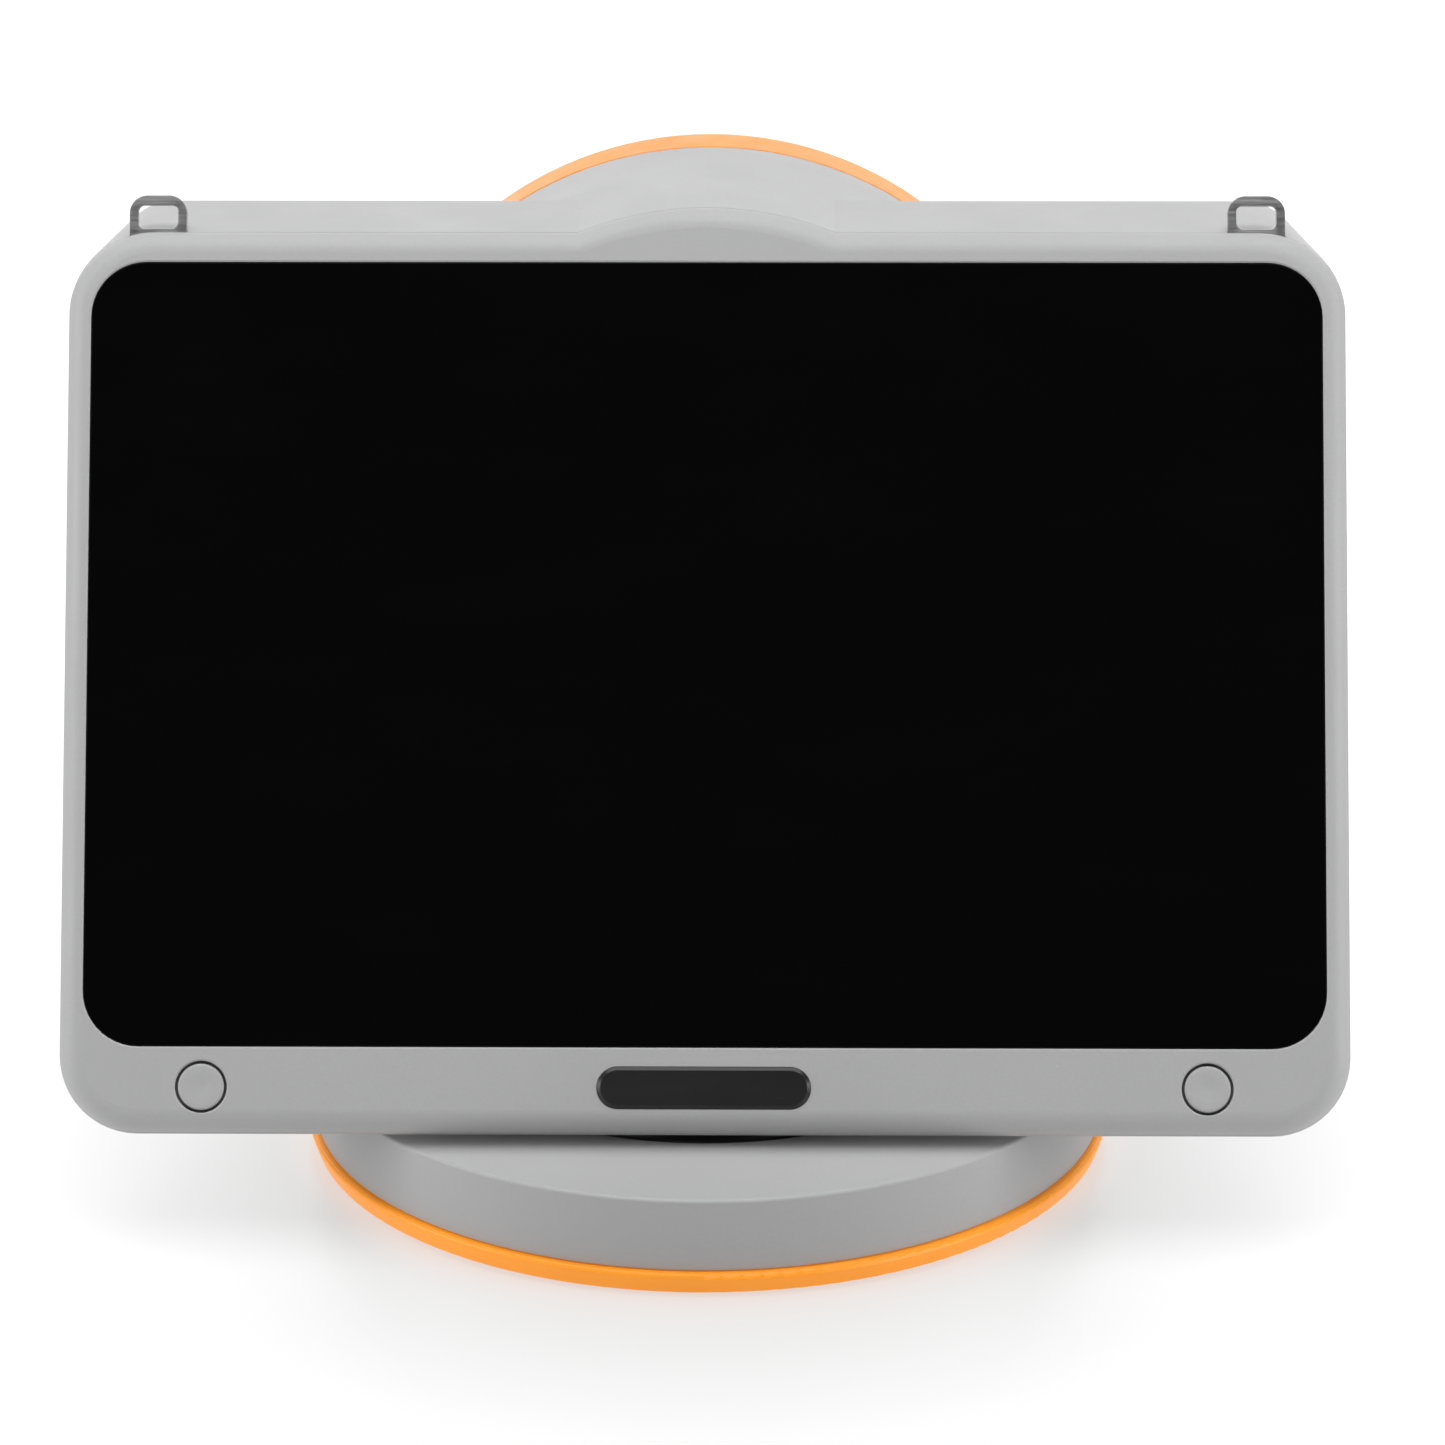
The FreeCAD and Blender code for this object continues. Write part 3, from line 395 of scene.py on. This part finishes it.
def stack(levels):
    """Skins a pile of same-length outlines [(points, depth)], each drawn in x and z, and caps both ends."""
    vertices, faces = [], []
    count = len(levels[0][0])
    for points, depth in levels:
        vertices += [Vector((point.x, depth, point.y)) for point in points]
    for level in range(len(levels) - 1):
        start = level * count
        for i in range(count):
            j = (i + 1) % count
            faces.append((start + i, start + j, start + count + j, start + count + i))
    faces.append(tuple(range(count)))
    faces.append(tuple(range(len(vertices) - count, len(vertices))))
    return vertices, faces


def face_mesh(name, vertices, faces):
    """Mesh of a piece drawn in the face's axes, leaned back into the frame."""
    mesh = bpy.data.meshes.new(name)
    mesh.from_pydata(vertices, [], faces)
    mesh.validate()
    mesh.transform(FACE_TURN)
    return mesh


def add_piece(name, mesh, slot, body, node, material=None):
    """Puts a piece in the frame in place of its CAD node: outward normals, smooth shading with crisp edges,
    its slot's material or a given one, and the body that it rides on."""
    piece = bpy.data.objects.new(name, mesh)
    bpy.context.scene.collection.objects.link(piece)
    work = bmesh.new()
    work.from_mesh(mesh)
    bmesh.ops.remove_doubles(work, verts=work.verts, dist=MERGE_DISTANCE)
    bmesh.ops.recalc_face_normals(work, faces=work.faces)
    work.to_mesh(mesh)
    work.free()
    mesh.shade_smooth()
    mesh.set_sharp_from_angle(angle=CREASE)
    mesh.materials.clear()
    mesh.materials.append(material or slot_materials[slot])
    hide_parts(node)
    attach(piece, body)


# ---- pieces ---------------------------------------------------------------------------------------------

def make_button(side):
    """Thumb button: shallow dished cap with a soft edge, a retaining skirt and the stem on the switch."""
    node = side + "_button"
    low, high = face_box(node)
    middle = Vector(((low.x + high.x) / 2, 0.0, (low.z + high.z) / 2))
    skirt = (high.x - low.x) / 2
    front, back = low.y, high.y
    dish = []
    for i in range(DISH_STEPS + 1):
        dish.append((BUTTON_CAP_RADIUS * BUTTON_DISH_SHARE * i / DISH_STEPS,
                     front + BUTTON_DISH * math.cos(math.pi / 2 * i / DISH_STEPS) ** 2))
    body = soften([
        (BUTTON_CAP_RADIUS, front, BUTTON_EDGE),
        (BUTTON_CAP_RADIUS, front + BUTTON_SKIRT, SOFT),
        (skirt, front + BUTTON_SKIRT, SOFT),
        (skirt, front + BUTTON_STEM_START, SOFT),
        (BUTTON_STEM_RADIUS, front + BUTTON_STEM_START, 0.0),
        (BUTTON_STEM_RADIUS, back, 2 * SOFT),
        (0.0, back, 0.0),
        (0.0, front, 0.0),
    ], steps=BUTTON_CORNER_STEPS)
    profile = dish + [tuple(point) for point in body[:-1]]

    def place(radius, angle, depth):
        return middle + Vector((radius * math.cos(angle), depth, radius * math.sin(angle)))

    name = side + "_thumb_button"
    add_piece(name, face_mesh(name, *lathe(profile, place)), "shell_grey", node, node)


def make_nameplate():
    """Blank stadium-shaped plate with a sloping rim."""
    low, high = face_box("nameplate")
    radius = (high.z - low.z) / 2 * NAMEPLATE_ROUNDING
    levels = [(rounded_rectangle(low, high, inset, radius), depth) for inset, depth in (
        (0.0, high.y),
        (0.0, low.y + NAMEPLATE_RISE + SOFT),
        (NAMEPLATE_EDGE, low.y + NAMEPLATE_RISE),
        (NAMEPLATE_RIM, low.y),
        (NAMEPLATE_RIM + SOFT, low.y),
    )]
    name = "blank_nameplate"
    add_piece(name, face_mesh(name, *stack(levels)), "black_plastic", "head", "nameplate",
              material=nameplate_black)


def make_glass():
    """Display pane with a ground arris along its front edge. The last level keeps the flat front's shading
    apart from the arris."""
    low, high = face_box("cover_glass")
    levels = [(rounded_rectangle(low, high, 0.0, GLASS_CORNER), high.y)]
    for step in range(ARRIS_STEPS + 1):
        angle = math.radians(90 * step / ARRIS_STEPS)
        inset = GLASS_ARRIS * (1 - math.cos(angle))
        levels.append((rounded_rectangle(low, high, inset, GLASS_CORNER),
                       low.y + GLASS_ARRIS * (1 - math.sin(angle))))
    levels.append((rounded_rectangle(low, high, GLASS_ARRIS + SOFT, GLASS_CORNER), low.y))
    name = "display_glass_pane"
    add_piece(name, face_mesh(name, *stack(levels)), "display_glass", "head", "cover_glass")


def make_eyelet(side):
    """Stamped strap eyelet: a plate with soft edges, round top corners and a slot for narrow webbing."""
    node = side + "_strap_eyelet"
    low, high = face_box(node)
    middle = (low.x + high.x) / 2
    soft = EYELET_SOFTNESS
    top = high.z - soft
    left, right = low.x + soft, high.x - soft
    slot_top = high.z - SLOT_TOP_BAR + soft
    slot_low = high.z - SLOT_TOP_BAR - SLOT_HEIGHT - soft
    half = SLOT_HALF + soft
    outlines = [
        soften([(left, low.z + soft, 0.0), (right, low.z + soft, 0.0), (right, top, EYELET_CORNER),
                (left, top, EYELET_CORNER)]),
        soften([(middle - half, slot_low, SLOT_CORNER), (middle + half, slot_low, SLOT_CORNER),
                (middle + half, slot_top, SLOT_CORNER), (middle - half, slot_top, SLOT_CORNER)]),
    ]
    curve = bpy.data.curves.new(node + "_outline", "CURVE")
    curve.dimensions = "2D"
    curve.fill_mode = "BOTH"
    curve.extrude = (high.y - low.y) / 2 - soft
    curve.bevel_depth = soft
    curve.bevel_resolution = EYELET_EDGE_STEPS
    for outline in outlines:
        spline = curve.splines.new("POLY")
        spline.points.add(len(outline) - 1)
        for point, place in zip(spline.points, outline):
            point.co = (place.x, place.y, 0.0, 1.0)
        spline.use_cyclic_u = True
    holder = bpy.data.objects.new(node + "_outline", curve)
    bpy.context.scene.collection.objects.link(holder)
    mesh = bpy.data.meshes.new_from_object(holder.evaluated_get(bpy.context.evaluated_depsgraph_get()))
    bpy.data.objects.remove(holder)
    stand_up = Matrix.Translation((0.0, (low.y + high.y) / 2, 0.0)) @ Matrix.Rotation(math.pi / 2, 4, "X")
    mesh.transform(FACE_TURN @ stand_up)
    add_piece(node + "_plate", mesh, "eyelet_metal", "head", node)


for side in ("left", "right"):
    make_button(side)
    make_eyelet(side)
make_nameplate()
make_glass()


# ---- floor, lights and camera ---------------------------------------------------------------------------
FLOOR_REACH = 15.0
FLOOR_DIFFUSE = 0.22
FLOOR_GLOW = 0.76
FLOOR_PAINTED_SHADE = 0.74  # share of the glow that is left next to the base, a painted shadow round it
FLOOR_NEAR = 0.11  # distances from the middle between which the glow rises out of the painted shadow
FLOOR_FAR = 0.18

LIGHT_TARGET = Vector((0.0, 0.0, 0.12))
WORLD_STRENGTH = 0.1

CAMERA_PLACE = Vector((0.02034, -1.26216, 0.57163))
CAMERA_DOWN = math.radians(20.172)
CAMERA_ASIDE = math.radians(-0.748)
CAMERA_ROLL = math.radians(-0.151)
CAMERA_LENS = 135.8  # millimetres, on a sensor of the width below
CAMERA_SENSOR = 36.0
CAMERA_REACH = 50.0


def make_floor():
    """Pale studio floor that glows like a lit sweep, a little less close to the base, which is a painted shadow
    round it.
    """
    vertices = [(-FLOOR_REACH, -FLOOR_REACH, 0.0), (FLOOR_REACH, -FLOOR_REACH, 0.0),
                (FLOOR_REACH, FLOOR_REACH, 0.0), (-FLOOR_REACH, FLOOR_REACH, 0.0)]
    mesh = bpy.data.meshes.new("floor")
    mesh.from_pydata(vertices, [], [(0, 1, 2, 3)])
    floor = bpy.data.objects.new("floor", mesh)
    bpy.context.scene.collection.objects.link(floor)
    sweep = new_material("floor", (FLOOR_DIFFUSE,) * 3, roughness=0.3, Specular_IOR_Level=0.25,
                         Emission_Color=(1.0, 1.0, 1.0, 1.0))
    away = add_node(sweep, "ShaderNodeVectorMath", Vector=pattern_space(sweep))
    away.operation = "LENGTH"
    # the glow is cut close to the base: a painted shadow round it
    link(sweep, remap(sweep, away.outputs["Value"], FLOOR_GLOW * FLOOR_PAINTED_SHADE, FLOOR_GLOW,
                      source=(FLOOR_NEAR, FLOOR_FAR)), "Emission Strength")
    floor.data.materials.append(sweep)


def softbox(name, place, width, height, power):
    """Soft rectangular light aimed at the middle of the object."""
    lamp = bpy.data.lights.new(name, "AREA")
    lamp.shape = "RECTANGLE"
    lamp.size = width
    lamp.size_y = height
    lamp.energy = power
    box = bpy.data.objects.new(name, lamp)
    box.location = place
    box.rotation_euler = (LIGHT_TARGET - Vector(place)).to_track_quat("-Z", "Y").to_euler()
    box.visible_camera = False
    bpy.context.scene.collection.objects.link(box)


def make_lights():
    """One large light above, one at each side, a wide one behind, and a little light from all round."""
    softbox("overhead_softbox", (0.0, -0.03, 1.5), width=1.8, height=1.4, power=24.2)
    softbox("left_softbox", (-1.6, -0.45, 0.5), width=0.9, height=0.8, power=13.6)
    softbox("right_softbox", (1.6, -0.45, 0.5), width=0.9, height=0.8, power=13.6)
    softbox("rear_softbox", (0.0, 1.9, 0.78), width=3.2, height=1.5, power=19.0)
    world = bpy.data.worlds.new("studio")
    world.use_nodes = True
    background = world.node_tree.nodes["Background"]
    background.inputs["Color"].default_value = (1.0, 1.0, 1.0, 1.0)
    background.inputs["Strength"].default_value = WORLD_STRENGTH
    bpy.context.scene.world = world
    bpy.context.scene.view_settings.view_transform = "Standard"


def make_camera():
    """Long lens from the front and about 20 degrees above."""
    ahead = Vector((math.sin(CAMERA_ASIDE) * math.cos(CAMERA_DOWN),
                    math.cos(CAMERA_ASIDE) * math.cos(CAMERA_DOWN), -math.sin(CAMERA_DOWN)))
    camera = bpy.data.cameras.new("camera")
    camera.lens = CAMERA_LENS
    camera.sensor_width = CAMERA_SENSOR
    camera.clip_end = CAMERA_REACH
    holder = bpy.data.objects.new("camera", camera)
    bpy.context.scene.collection.objects.link(holder)
    turn = ahead.to_track_quat("-Z", "Y").to_matrix() @ Matrix.Rotation(CAMERA_ROLL, 3, "Z")
    holder.matrix_world = Matrix.Translation(CAMERA_PLACE) @ turn.to_4x4()
    bpy.context.scene.camera = holder


make_floor()
make_lights()
make_camera()
